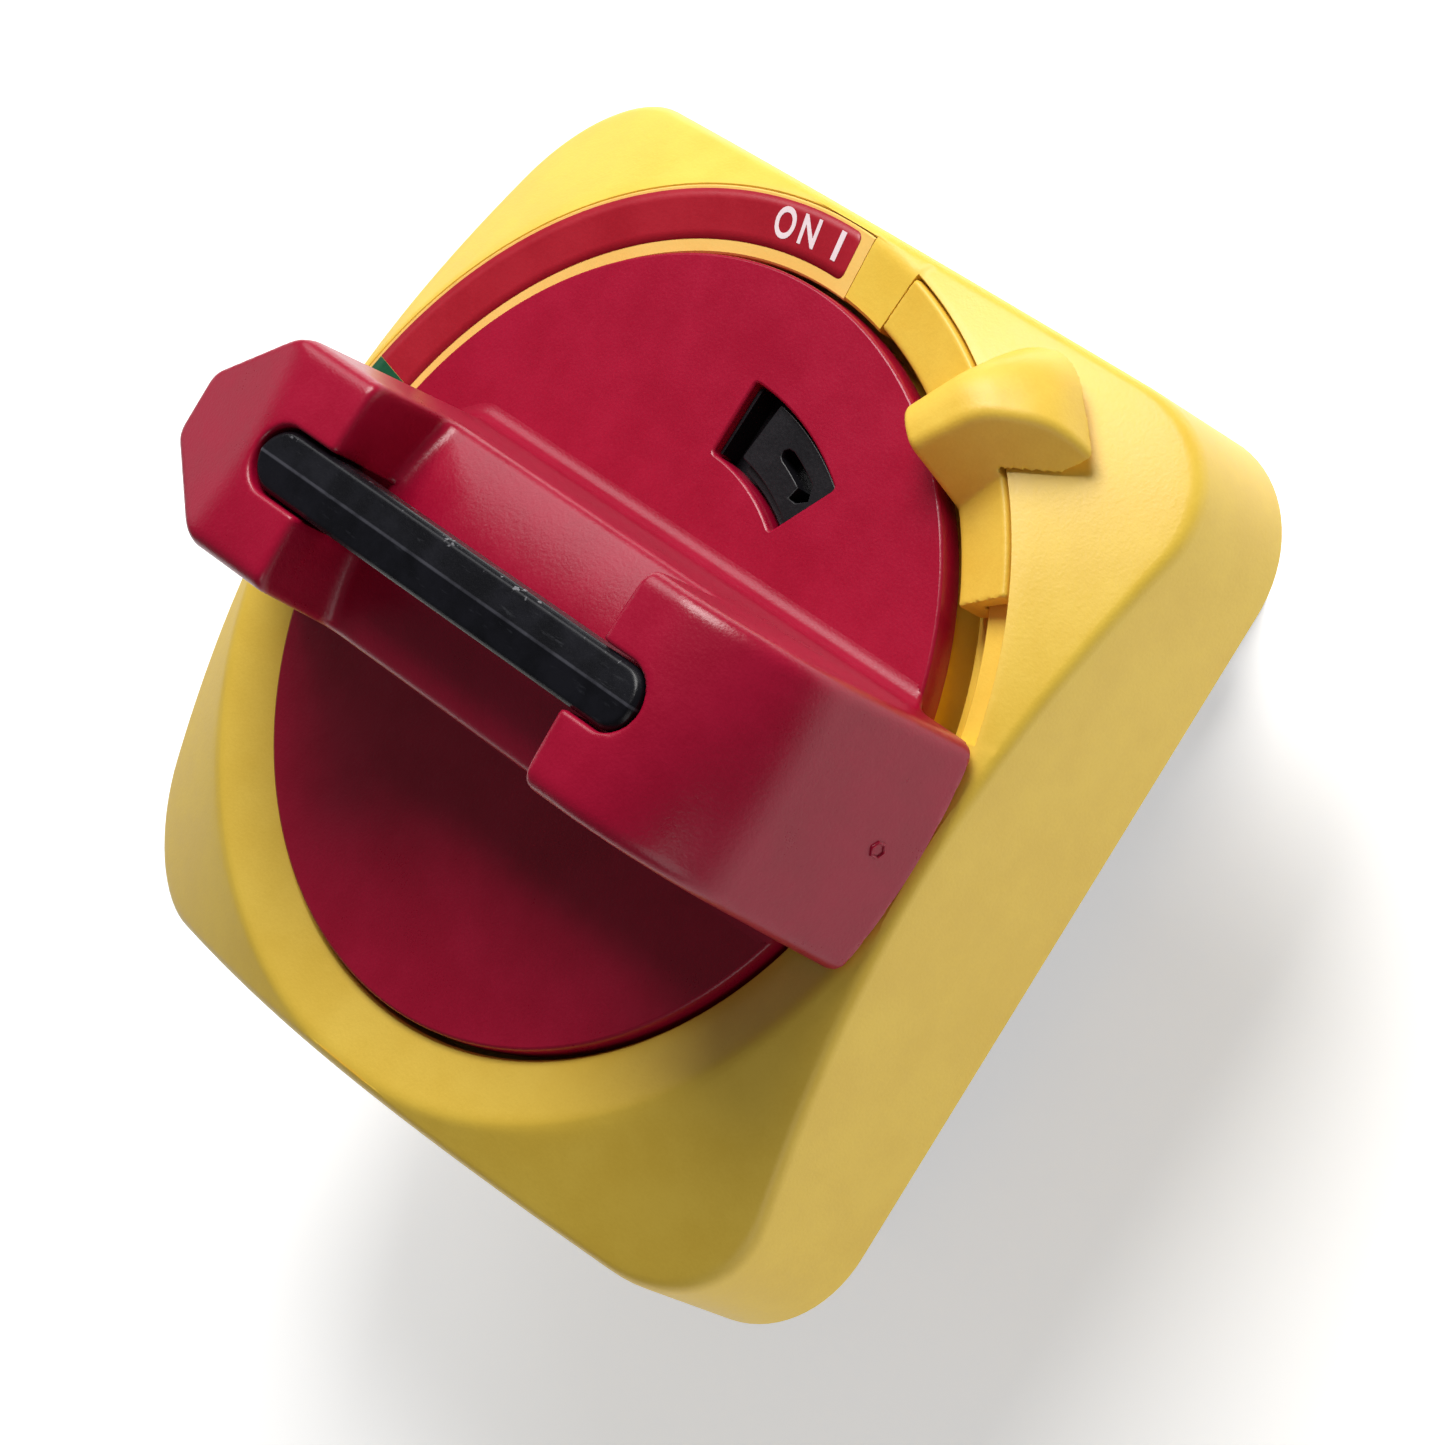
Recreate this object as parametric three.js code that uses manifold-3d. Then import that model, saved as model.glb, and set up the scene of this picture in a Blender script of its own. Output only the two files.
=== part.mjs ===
// Panel-mounted rotary isolator switch with a padlockable handle. Millimetres, +Z out of the panel.
// X is across the panel and Y is up it. Heights in this file are measured from the back face of the
// front plate; the whole assembly is then raised so that the rear cover stands on Z = 0.
import * as THREE from 'three';
import { mergeVertices } from 'three/addons/utils/BufferGeometryUtils.js';
import Module from 'manifold-3d';

const wasm = await Module();
wasm.setup();

// Driving dimensions
const PLATE_SIDE = 90;
const PLATE_CORNER_R = 12;
const CREST_R = 44.2;
const CREST_Z = 22;
const FACE_SLOPE = 0.58;
const RECESS_R = 38;
const DISH_INNER_Z = 20.9;
const GROOVE_R = 43.9;
const LEDGE_Z = 19.6;
const DISC_R = 37.45;
const DISC_TOP_Z = 22.2;
const GRIP_BASE_Z = 22.7;
const GRIP_TOP_Z = 49.4;
const SADDLE_Z = 39;
const GAP_X = [-13, 24.8];
const BAR_X = [-21.8, 31.8];
const BAR_Z = [44.6, 49.3];
const BAR_EDGE_Z = 48.6;
const BAR_TRAVEL = 3.2;
const HANDLE_SWEEP_DEG = 90;
const SLIDER_ARC = [32.1, 76.6];
const SLIDER_SWEEP_DEG = 16;
const LABEL_ARC = [85.6, 194];
const SHAFT_SIDE = 8;
const BEHIND_PANEL = 31;
const BODY_HALF_X = 21.5;
const BODY_HALF_Y = 36;
const FLANGE_HALF = 30;
const FLANGE_Z = [-12, -4];
const DECK_PITCH = 8.3;
const DECK_H = 8;
const DECK_FLOOR = 1.2;
const CAM_R_OPEN = 7.6;
const CAM_R_CLOSED = 5.4;
const GAP = 0.3;
const WALL = 2.6;

// Colours
const YELLOW = 0xf2cf4a;
const RED = 0xb01530;
const BLACK = 0x17171b;
const GREY = 0x3a3b40;
const NATURAL = 0xd9d2bf;
const STEEL = 0xb9bcc0;
const BRASS = 0xc79a4b;
const RUBBER = 0x202022;
const LABEL = 0xf3c673;

const rad = THREE.MathUtils.degToRad;
const polar = (r, deg) => [r * Math.cos(rad(deg)), r * Math.sin(rad(deg))];

// Solids: every shape is a three.js geometry turned into a manifold so that it can be joined or cut.
function toSolid(geometry) {
  const bare = geometry.clone();
  bare.deleteAttribute('normal');
  bare.deleteAttribute('uv');
  const merged = mergeVertices(bare, 1e-5);
  return new wasm.Manifold(new wasm.Mesh({
    numProp: 3,
    vertProperties: new Float32Array(merged.attributes.position.array),
    triVerts: new Uint32Array(merged.index.array),
  }));
}

function toGeometry(solid) {
  const mesh = solid.getMesh();
  const geometry = new THREE.BufferGeometry();
  geometry.setAttribute('position', new THREE.BufferAttribute(new Float32Array(mesh.vertProperties), 3));
  geometry.setIndex(new THREE.BufferAttribute(new Uint32Array(mesh.triVerts), 1));
  geometry.computeVertexNormals();
  return geometry;
}

const join = (...solids) => solids.reduce((all, next) => all.add(next));
const cut = (solid, ...tools) => tools.reduce((left, tool) => left.subtract(tool), solid);

function box([x0, x1], [y0, y1], [z0, z1]) {
  const geometry = new THREE.BoxGeometry(x1 - x0, y1 - y0, z1 - z0);
  geometry.translate((x0 + x1) / 2, (y0 + y1) / 2, (z0 + z1) / 2);
  return toSolid(geometry);
}

// A round bar along 'x', 'y' or 'z' from a to b; centre holds the two other coordinates in axis order.
function rod(r, [a, b], centre = [0, 0], axis = 'z', sides = 24) {
  const geometry = new THREE.CylinderGeometry(r, r, b - a, sides);
  const middle = (a + b) / 2;
  if (axis === 'z') {
    geometry.rotateX(Math.PI / 2);
    geometry.translate(centre[0], centre[1], middle);
  } else if (axis === 'x') {
    geometry.rotateZ(Math.PI / 2);
    geometry.translate(middle, centre[0], centre[1]);
  } else {
    geometry.translate(centre[0], middle, centre[1]);
  }
  return toSolid(geometry);
}

const polygon = (points) => new THREE.Shape(points.map(([x, y]) => new THREE.Vector2(x, y)));

function prism(points, [z0, z1], curveSegments = 8) {
  const shape = points instanceof THREE.Shape ? points : polygon(points);
  const geometry = new THREE.ExtrudeGeometry(shape, { depth: z1 - z0, bevelEnabled: false, curveSegments });
  geometry.translate(0, 0, z0);
  return toSolid(geometry);
}

function roundedRect(halfX, halfY, r) {
  const shape = new THREE.Shape();
  shape.moveTo(halfX, -halfY + r);
  shape.lineTo(halfX, halfY - r);
  shape.absarc(halfX - r, halfY - r, r, 0, Math.PI / 2);
  shape.lineTo(-halfX + r, halfY);
  shape.absarc(-halfX + r, halfY - r, r, Math.PI / 2, Math.PI);
  shape.lineTo(-halfX, -halfY + r);
  shape.absarc(-halfX + r, -halfY + r, r, Math.PI, 1.5 * Math.PI);
  shape.lineTo(halfX - r, -halfY);
  shape.absarc(halfX - r, -halfY + r, r, 1.5 * Math.PI, 2 * Math.PI);
  return shape;
}

// A slot outline with round ends, centred on y = 0.
function obround([x0, x1], halfWidth) {
  const shape = new THREE.Shape();
  shape.absarc(x1 - halfWidth, 0, halfWidth, -Math.PI / 2, Math.PI / 2);
  shape.absarc(x0 + halfWidth, 0, halfWidth, Math.PI / 2, 1.5 * Math.PI);
  return shape;
}

// Triangles over a grid of points: rows[i][j] are [x, y, z], with j always closed on itself.
function gridSolid(rows, closedRows) {
  const columns = rows[0].length;
  const positions = rows.flat(2);
  const index = [];
  const last = closedRows ? rows.length : rows.length - 1;
  for (let i = 0; i < last; i += 1) {
    const next = (i + 1) % rows.length;
    for (let j = 0; j < columns; j += 1) {
      const k = (j + 1) % columns;
      index.push(i * columns + j, next * columns + j, next * columns + k);
      index.push(i * columns + j, next * columns + k, i * columns + k);
    }
  }
  if (!closedRows) {
    const end = (rows.length - 1) * columns;
    for (let j = 1; j < columns - 1; j += 1) {
      index.push(0, j, j + 1);
      index.push(end, end + j + 1, end + j);
    }
  }
  const geometry = new THREE.BufferGeometry();
  geometry.setAttribute('position', new THREE.BufferAttribute(new Float32Array(positions), 3));
  geometry.setIndex(index);
  return toSolid(geometry);
}

// A closed [radius, height] outline turned about Z from one angle to the other. It is listed
// clockwise, seen with the radius to the right and Z up, and may change with the angle.
function turned(outline, [from, to], steps) {
  const full = to - from === 360;
  const rows = [];
  for (let i = 0; i < (full ? steps : steps + 1); i += 1) {
    const angle = from + ((to - from) * i) / steps;
    rows.push(outline(angle).reverse().map(([r, z]) => [...polar(r, angle), z]));
  }
  return gridSolid(rows, full);
}

const sector = ([r0, r1], arc, [z0, z1], steps = 16) =>
  turned(() => [[r0, z0], [r0, z1], [r1, z1], [r1, z0]], arc, steps);

// Stacks closed outlines of [x, y, z] points, listed anticlockwise seen from +Z, from low to high.
const loft = (outlines) => gridSolid([...outlines].reverse(), false);

// A coil spring along +Z from z0 to z1, standing on the origin.
function coil(meanR, wireR, [z0, z1], turns) {
  class Helix extends THREE.Curve {
    getPoint(t) {
      const angle = 2 * Math.PI * turns * t;
      const z = z0 + wireR + (z1 - z0 - 2 * wireR) * t;
      return new THREE.Vector3(meanR * Math.cos(angle), meanR * Math.sin(angle), z);
    }
  }
  const section = new THREE.Shape();
  section.absarc(0, 0, wireR, 0, 2 * Math.PI);
  return new THREE.ExtrudeGeometry(section, {
    extrudePath: new Helix(), steps: Math.round(turns * 8), curveSegments: 3, bevelEnabled: false,
  });
}

const assembly = new THREE.Group();
assembly.position.z = BEHIND_PANEL;

function addPiece(name, shape, color, roughness = 0.5, metalness = 0) {
  const geometry = shape instanceof THREE.BufferGeometry ? shape : toGeometry(shape);
  const mesh = new THREE.Mesh(geometry, new THREE.MeshStandardMaterial({ color, roughness, metalness }));
  mesh.name = name;
  assembly.add(mesh);
  return mesh;
}

// Front plate
const dishZ = (r) => DISH_INNER_Z + ((CREST_Z - DISH_INNER_Z) * (r - RECESS_R)) / (CREST_R - RECESS_R);
const faceZ = (r) => CREST_Z - FACE_SLOPE * Math.max(0, r - CREST_R);

// Distance from the centre to the edge of a rounded square, at an angle.
function squareRadius(half, cornerR, deg) {
  const c = Math.abs(Math.cos(rad(deg)));
  const s = Math.abs(Math.sin(rad(deg)));
  const flat = half / Math.max(c, s);
  const inner = half - cornerR;
  if (flat * Math.min(c, s) <= inner) {
    return flat;
  }
  const along = inner * (c + s);
  return along + Math.sqrt(along * along - 2 * inner * inner + cornerR * cornerR);
}

const PLATE_FLOOR_Z = [11.5, 14.2];
const PLATE_BORE_R = 12.6;
const EDGE_FILLET = 1.6;

function platePart(angle) {
  const outer = squareRadius(PLATE_SIDE / 2, PLATE_CORNER_R, angle);
  const inner = squareRadius(PLATE_SIDE / 2 - WALL, PLATE_CORNER_R - WALL, angle);
  const crest = Math.min(CREST_R, outer - 2 * EDGE_FILLET / 3);
  const shoulder = Math.max(outer - EDGE_FILLET, crest + 0.2);
  const underside = Math.min(faceZ(inner), dishZ(RECESS_R)) - WALL - 1;
  return [
    [outer, 0],
    [inner, 0],
    [inner, Math.min(underside, faceZ(inner) - WALL)],
    [RECESS_R + WALL, underside],
    [RECESS_R + WALL, PLATE_FLOOR_Z[0]],
    [PLATE_BORE_R, PLATE_FLOOR_Z[0]],
    [PLATE_BORE_R, PLATE_FLOOR_Z[1]],
    [RECESS_R, PLATE_FLOOR_Z[1]],
    [RECESS_R, DISH_INNER_Z],
    [crest, dishZ(crest)],
    [shoulder, faceZ(shoulder)],
    [outer, faceZ(outer) - EDGE_FILLET],
  ];
}

const GROOVE_ARC = [SLIDER_ARC[0] - SLIDER_SWEEP_DEG - 1.3, SLIDER_ARC[1] + 0.4];
const LABEL_POCKET = [LABEL_ARC[0] - 0.3, LABEL_ARC[1] + 0.3];
const CHANNEL_R = 40.7;
const CHANNEL_Z = 17;
const PLATE_SCREW_AT = 25;
const BOSS_R = 4;
const SCREW_R = 1.5;
const corners = [[1, 1], [-1, 1], [-1, -1], [1, -1]];

let plate = turned(platePart, [0, 360], 64);
for (const [sx, sy] of corners) {
  const centre = [sx * PLATE_SCREW_AT, sy * PLATE_SCREW_AT];
  plate = join(plate, rod(BOSS_R, [0.2, PLATE_FLOOR_Z[0] + 0.5], centre, 'z', 16));
  plate = cut(plate, rod(SCREW_R + GAP, [0, 9], centre, 'z', 12));
}
plate = cut(
  plate,
  sector([RECESS_R - 1, GROOVE_R + GAP], GROOVE_ARC, [LEDGE_Z, CREST_Z + 1]),
  sector([RECESS_R - 1, CHANNEL_R], GROOVE_ARC, [CHANNEL_Z, CREST_Z]),
  sector([RECESS_R - 1, GROOVE_R + GAP], LABEL_POCKET, [LEDGE_Z, CREST_Z + 1], 24),
);
addPiece('front_plate', plate, YELLOW, 0.45);

const ring = (outerHalf, innerHalf, cornerR, z) => cut(
  prism(roundedRect(outerHalf, outerHalf, cornerR), z, 4),
  prism(roundedRect(innerHalf, innerHalf, cornerR - (outerHalf - innerHalf)), [z[0] - 1, z[1] + 1], 4),
);
addPiece('panel_gasket', ring(43.5, 41, 10.5, [-1.5, -GAP]), RUBBER, 0.85);

const strip = (r0, r1, bottom, arc, steps) =>
  turned(() => [[r0, bottom], [r0, dishZ(r0)], [r1, dishZ(r1)], [r1, bottom]], arc, steps);
const ledgeTop = LEDGE_Z + GAP;
addPiece('label_strip', strip(RECESS_R + 0.2, GROOVE_R, ledgeTop, LABEL_ARC, 26), LABEL, 0.4);

// Interlock slider: an arc that runs in the groove, with a radial thumb tab
const TAB_START = 45.4;
const TAB_TOP = [50.5, 57];
const tabStations = [
  { r: 38.5, foot: 20.6, top: 27.2, footEnd: 62.6, topEnd: TAB_TOP[1] },
  { r: 43.6, foot: 20.6, top: 27.3, footEnd: 62.6, topEnd: TAB_TOP[1] },
  { r: 44, foot: 22.5, top: 27.3, footEnd: 62, topEnd: TAB_TOP[1] },
  { r: 46.4, foot: 21.5, top: 27.2, footEnd: 60, topEnd: 56.5 },
  { r: 50.2, foot: 19.2, top: 24.4, footEnd: 57, topEnd: 55 },
  { r: 52, foot: 18.2, top: 21.2, footEnd: 56, topEnd: 54 },
];
const tabRows = tabStations.map(({ r, foot, top, footEnd, topEnd }) => [
  [...polar(r, TAB_START), foot],
  [...polar(r, TAB_TOP[0]), top],
  [...polar(r, topEnd), top],
  [...polar(r, footEnd), foot],
]);
const slider = join(
  strip(RECESS_R + 0.4, GROOVE_R, ledgeTop, SLIDER_ARC, 14),
  sector([RECESS_R + 0.4, CHANNEL_R - GAP], SLIDER_ARC, [CHANNEL_Z + GAP, ledgeTop + 0.5], 14),
  gridSolid(tabRows, false),
);
addPiece('interlock_slider', slider, YELLOW, 0.42);

// Handle: disc with a skirt, hub and grip bar in one moulding
const END_R = 45;
const gripOutline = ({ z, half, endX, endArc, shoulder, tip, tipHalf, shoulderZ = z, tipZ = z }) => [
  [endX, -half, z],
  [endX + endArc, -half * 0.4, z],
  [endX + endArc, half * 0.4, z],
  [endX, half, z],
  [shoulder, half, shoulderZ],
  [tip, tipHalf, tipZ],
  [tip, -tipHalf, tipZ],
  [shoulder, -half, shoulderZ],
];
const gripLevels = [
  { z: GRIP_BASE_Z, half: 11.5, endX: 43.5, endArc: END_R - 43.5, shoulder: -36, tip: -END_R, tipHalf: 6 },
  { z: 45.2, half: 11, endX: 40.4, endArc: 0.8, shoulder: -27.2, tip: -33.6, tipHalf: 4.4, tipZ: 46.6 },
  { z: 48, half: 10.5, endX: 38.2, endArc: 0.6, shoulder: -24.8, tip: -26, tipHalf: 8.2, tipZ: 48.6 },
  { z: GRIP_TOP_Z, half: 9.4, endX: 35.5, endArc: 0.3, shoulder: -24, tip: -24.2, tipHalf: 8 },
];
const grip = loft(gripLevels.map(gripOutline));
const gripRoot = loft([DISC_TOP_Z - 1, GRIP_BASE_Z + 0.5].map((z) => gripOutline({ ...gripLevels[0], z })))
  .intersect(rod(DISC_R - 0.4, [DISC_TOP_Z - 2, GRIP_BASE_Z + 1], [0, 0], 'z', 64));

const HUB_R = [10, 12.2];
const SKIRT_Z = 15.4;
const WEB_Z = 19.3;
const discShape = turned(() => [
  [HUB_R[0], 8],
  [HUB_R[0], WEB_Z - 0.2],
  [0.01, WEB_Z],
  [0.01, DISC_TOP_Z],
  [DISC_R - 0.4, DISC_TOP_Z],
  [DISC_R, DISC_TOP_Z - 0.4],
  [DISC_R, SKIRT_Z],
  [DISC_R - 2, SKIRT_Z],
  [DISC_R - 2, WEB_Z],
  [HUB_R[1], WEB_Z],
  [HUB_R[1], 8],
], [0, 360], 64).add(rod(1, [WEB_Z, DISC_TOP_Z], [0, 0], 'z', 12));

const WINDOW_R = [20.2, 27.6];
const WINDOW_ARC = [57.5, 89.3];
const SLOT_HALF = 3.3;
const SLOT_FLOOR = BAR_Z[0] - BAR_TRAVEL - 0.4;
const LEG_X = [-18.4, 28.4];
const LEG_HALF = 2;
const LEG_FOOT_Z = 33;
const LEG_HOLE_Z = 25;
const CLIP_GROOVE_Z = [9.4, 11];
const handle = cut(
  join(discShape, grip, gripRoot),
  box(GAP_X, [-20, 20], [SADDLE_Z, 60]),
  prism(obround([BAR_X[0] - GAP, BAR_X[1] + GAP], SLOT_HALF), [SLOT_FLOOR, 60]),
  ...LEG_X.map((x) => box([x - 2.3, x + 2.3], [-2.3, 2.3], [LEG_HOLE_Z, SLOT_FLOOR + 1])),
  sector(WINDOW_R, WINDOW_ARC, [WEB_Z - 1, DISC_TOP_Z + 1], 8),
  cut(rod(13, CLIP_GROOVE_Z), rod(11.2, [9, 12])),
);
addPiece('handle', handle, RED, 0.38);

const barEdge = BAR_EDGE_Z - BAR_Z[0];
const barSection = [[-3, 0], [3, 0], [3, barEdge], [0, BAR_Z[1] - BAR_Z[0]], [-3, barEdge]];
const barBlank = new THREE.ExtrudeGeometry(polygon(barSection), {
  depth: BAR_X[1] - BAR_X[0], bevelEnabled: false,
});
barBlank.rotateX(Math.PI / 2);
barBlank.rotateZ(Math.PI / 2);
barBlank.translate(BAR_X[0], 0, BAR_Z[0]);
const leg = (x) => box([x - LEG_HALF, x + LEG_HALF], [-LEG_HALF, LEG_HALF], [LEG_FOOT_Z, BAR_Z[0] + 0.5]);
const padlockBar = join(
  toSolid(barBlank).intersect(prism(obround(BAR_X, 3), [BAR_Z[0] - 1, BAR_Z[1] + 1])),
  ...LEG_X.map(leg),
);
addPiece('padlock_bar', padlockBar, BLACK, 0.25);
LEG_X.forEach((x, i) => {
  const wire = coil(1.6, 0.3, [LEG_HOLE_Z + GAP, LEG_FOOT_Z - GAP], 4);
  const spring = addPiece(`bar_spring_${i + 1}`, wire, STEEL, 0.35, 1);
  spring.position.x = x;
});

const LOCK_PLATE_R = [12.6, 34.8];
const LOCK_PLATE_Z = [16.6, 18.9];
const lockHook = [[67, 23.2], [67, 26.4], [61.5, 26.4], [61.5, 22], [63.5, 22], [63.5, 23.2]];
const lockPlate = cut(
  sector(LOCK_PLATE_R, [0, 360], LOCK_PLATE_Z, 40),
  sector([18.5, 30], [78, 96], [17.8, 19.5], 6),
  prism(lockHook.map(([deg, r]) => polar(r, deg)).reverse(), [15, 20]),
);
addPiece('lock_plate', lockPlate, BLACK, 0.35);

const square = (side, z) => box([-side / 2, side / 2], [-side / 2, side / 2], z);
const shaftHole = (z) => square(SHAFT_SIDE + 2 * GAP, z);
const coupler = cut(rod(HUB_R[0] - GAP, [8, 18.6], [0, 0], 'z', 32), shaftHole([7, 17.8]));
addPiece('drive_coupler', coupler, BLACK, 0.4);

const CLIP_R = [11.5, 15];
const clip = sector(CLIP_R, [25, 335], [CLIP_GROOVE_Z[0] + GAP, CLIP_GROOVE_Z[1] - GAP], 22);
addPiece('retaining_clip', clip, STEEL, 0.3, 1);

const SPIGOT_R = 3;
const DECK_BOTTOM = (deck) => FLANGE_Z[0] - GAP - DECK_H - deck * DECK_PITCH;
const COVER_TOP = DECK_BOTTOM(1) - GAP;
const shaft = join(
  square(SHAFT_SIDE, [COVER_TOP + 0.6, 17.4]),
  rod(SPIGOT_R, [-BEHIND_PANEL + 0.5, COVER_TOP + 1]),
);
addPiece('drive_shaft', shaft, STEEL, 0.35, 1);

// A slotted screw along +Z with its head at the lower end, standing on the origin.
function screw(r, length, headR, headH, slotWidth = 0.9) {
  return cut(
    join(rod(r, [headH - 0.1, length], [0, 0], 'z', 12), rod(headR, [0, headH], [0, 0], 'z', 16)),
    box([-headR - 1, headR + 1], [-slotWidth / 2, slotWidth / 2], [-1, headH * 0.5]),
  );
}

corners.forEach(([sx, sy], i) => {
  const piece = addPiece(`plate_screw_${i + 1}`, screw(SCREW_R, 22.2, 2.9, 2), STEEL, 0.3, 1);
  piece.position.set(sx * PLATE_SCREW_AT, sy * PLATE_SCREW_AT, FLANGE_Z[0] - GAP - 2);
});

// Mechanism housing with the indexing parts
const BOLT_AT = 32;
const BOLT_R = 1.5;
const INDEX_Z = [-11.2, -7];
const STAR_R = 9.4;
const STAR_NOTCH_R = 8.3;
const DETENT_NOSE = STAR_R + GAP;
const DETENT_TAIL = 17;
const DETENT_WALL = 24;
const ends = [1, -1];
const plateScrewHole = ([sx, sy]) =>
  rod(SCREW_R + GAP, [-20, 0], [sx * PLATE_SCREW_AT, sy * PLATE_SCREW_AT], 'z', 12);
const mechanism = cut(
  join(
    prism(roundedRect(FLANGE_HALF, FLANGE_HALF, 4), FLANGE_Z, 3),
    prism(roundedRect(BODY_HALF_X, BODY_HALF_Y, 2), FLANGE_Z, 3),
  ),
  rod(6.2, [FLANGE_Z[0] - 1, FLANGE_Z[1] + 1]),
  rod(STAR_R + 0.6, [FLANGE_Z[0] - 1, INDEX_Z[1] + GAP], [0, 0], 'z', 40),
  box([-2.8, 2.8], [-DETENT_WALL, DETENT_WALL], [FLANGE_Z[0] - 1, INDEX_Z[1] + GAP]),
  ...corners.map(plateScrewHole),
  ...ends.map((s) => rod(BOLT_R + GAP, [-20, -6], [0, s * BOLT_AT], 'z', 12)),
);
addPiece('mechanism_housing', mechanism, GREY, 0.5);

const starOutline = [];
const STAR_POINTS = 40;
for (let i = 0; i < STAR_POINTS; i += 1) {
  const deg = (360 * i) / STAR_POINTS;
  const notch = Math.max(0, Math.cos(rad((360 / HANDLE_SWEEP_DEG) * deg))) ** 3;
  starOutline.push(polar(STAR_R - (STAR_R - STAR_NOTCH_R) * notch, deg));
}
addPiece('detent_star', cut(prism(starOutline, INDEX_Z), shaftHole([-20, 0])), NATURAL, 0.5);

const detentOutline = [
  [-1.2, DETENT_NOSE], [1.2, DETENT_NOSE], [2.5, DETENT_NOSE + 1.6],
  [2.5, DETENT_TAIL], [-2.5, DETENT_TAIL], [-2.5, DETENT_NOSE + 1.6],
];
ends.forEach((s, i) => {
  const plunger = addPiece(`detent_plunger_${i + 1}`, prism(detentOutline, INDEX_Z), NATURAL, 0.5);
  plunger.rotation.z = s > 0 ? 0 : Math.PI;
  const wire = coil(1.6, 0.35, [DETENT_TAIL + GAP, DETENT_WALL - GAP], 4);
  const spring = addPiece(`detent_spring_${i + 1}`, wire, STEEL, 0.35, 1);
  spring.rotation.x = -s * Math.PI / 2;
  spring.position.z = (INDEX_Z[0] + INDEX_Z[1]) / 2;
});

// Contact decks
const FIXED_X = [7.5, 8.7];
const TONGUE_X = [13.4, 14.6];
const WIRE_X = [14.9, 20.2];
const STRIP_Y = [8.8, 34.4];
const ELBOW_Y = [20, 21.2];
const CARRIER_X = [CAM_R_OPEN + GAP, 15.6];
const BRIDGE_X = [11.6, 12.8];
const TERMINAL_Y = 29;

const sided = (sign, [a, b]) => (sign > 0 ? [a, b] : [-b, -a]);
const terminalZ = (bottom) => bottom + DECK_H / 2 + 0.2;

function deckHousing(bottom) {
  const through = [bottom - 1, bottom + DECK_H + 1];
  const high = [bottom + DECK_FLOOR, bottom + DECK_H + 1];
  const elbow = [ELBOW_Y[0] - GAP, ELBOW_Y[1] + GAP];
  const tools = [
    rod(9.3, through, [0, 0], 'z', 32),
    ...ends.map((sx) => box(sided(sx, [7, WIRE_X[1]]), [-4.3, 4.3], high)),
    ...ends.map((sx) => box(sided(sx, [FIXED_X[0] + 1.5, 16.5]), [-12.6, 12.6], high)),
    ...ends.map((sy) => rod(BOLT_R + GAP, through, [0, sy * BOLT_AT], 'z', 12)),
  ];
  for (const [sx, sy] of corners) {
    const contactX = sided(sx, [FIXED_X[0] - GAP, FIXED_X[1] + GAP]);
    const screwX = sided(sx, [WIRE_X[1] - 1, BODY_HALF_X + 1]);
    tools.push(
      box(contactX, sided(sy, [STRIP_Y[0] - GAP, elbow[1]]), high),
      box(sided(sx, [FIXED_X[0] - GAP, TONGUE_X[1] + 1]), sided(sy, elbow), high),
      box(sided(sx, [TONGUE_X[0] - GAP, WIRE_X[1]]), sided(sy, [elbow[0], BODY_HALF_Y + 1]), high),
      rod(1.9, screwX, [sy * TERMINAL_Y, terminalZ(bottom)], 'x', 16),
    );
  }
  return cut(prism(roundedRect(BODY_HALF_X, BODY_HALF_Y, 2), [bottom, bottom + DECK_H], 3), ...tools);
}

// Oval cam: its radius falls steadily over a quarter turn, so the carriers close at a steady rate.
function camOutline() {
  const points = [];
  const count = 36;
  for (let i = 0; i < count; i += 1) {
    const deg = (360 * i) / count;
    const fold = Math.abs(HANDLE_SWEEP_DEG - (deg % 180)) / HANDLE_SWEEP_DEG;
    points.push(polar(CAM_R_CLOSED + (CAM_R_OPEN - CAM_R_CLOSED) * fold, deg));
  }
  return points;
}

// Contact strip on the +X, +Y side: a contact end beside the bridge, an elbow, and a terminal tongue.
const stripOutline = [
  [FIXED_X[0], STRIP_Y[0]], [FIXED_X[1], STRIP_Y[0]], [FIXED_X[1], ELBOW_Y[0]], [TONGUE_X[1], ELBOW_Y[0]],
  [TONGUE_X[1], STRIP_Y[1]], [TONGUE_X[0], STRIP_Y[1]], [TONGUE_X[0], ELBOW_Y[1]], [FIXED_X[0], ELBOW_Y[1]],
];
const carrierOutline = [
  [CARRIER_X[0], -1.2], [CARRIER_X[0] + 2, -4], [CARRIER_X[1], -4],
  [CARRIER_X[1], 4], [CARRIER_X[0] + 2, 4], [CARRIER_X[0], 1.2],
];
const mirrored = (points, sx, sy) => {
  const moved = points.map(([x, y]) => [sx * x, sy * y]);
  return sx * sy > 0 ? moved : moved.reverse();
};

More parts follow.
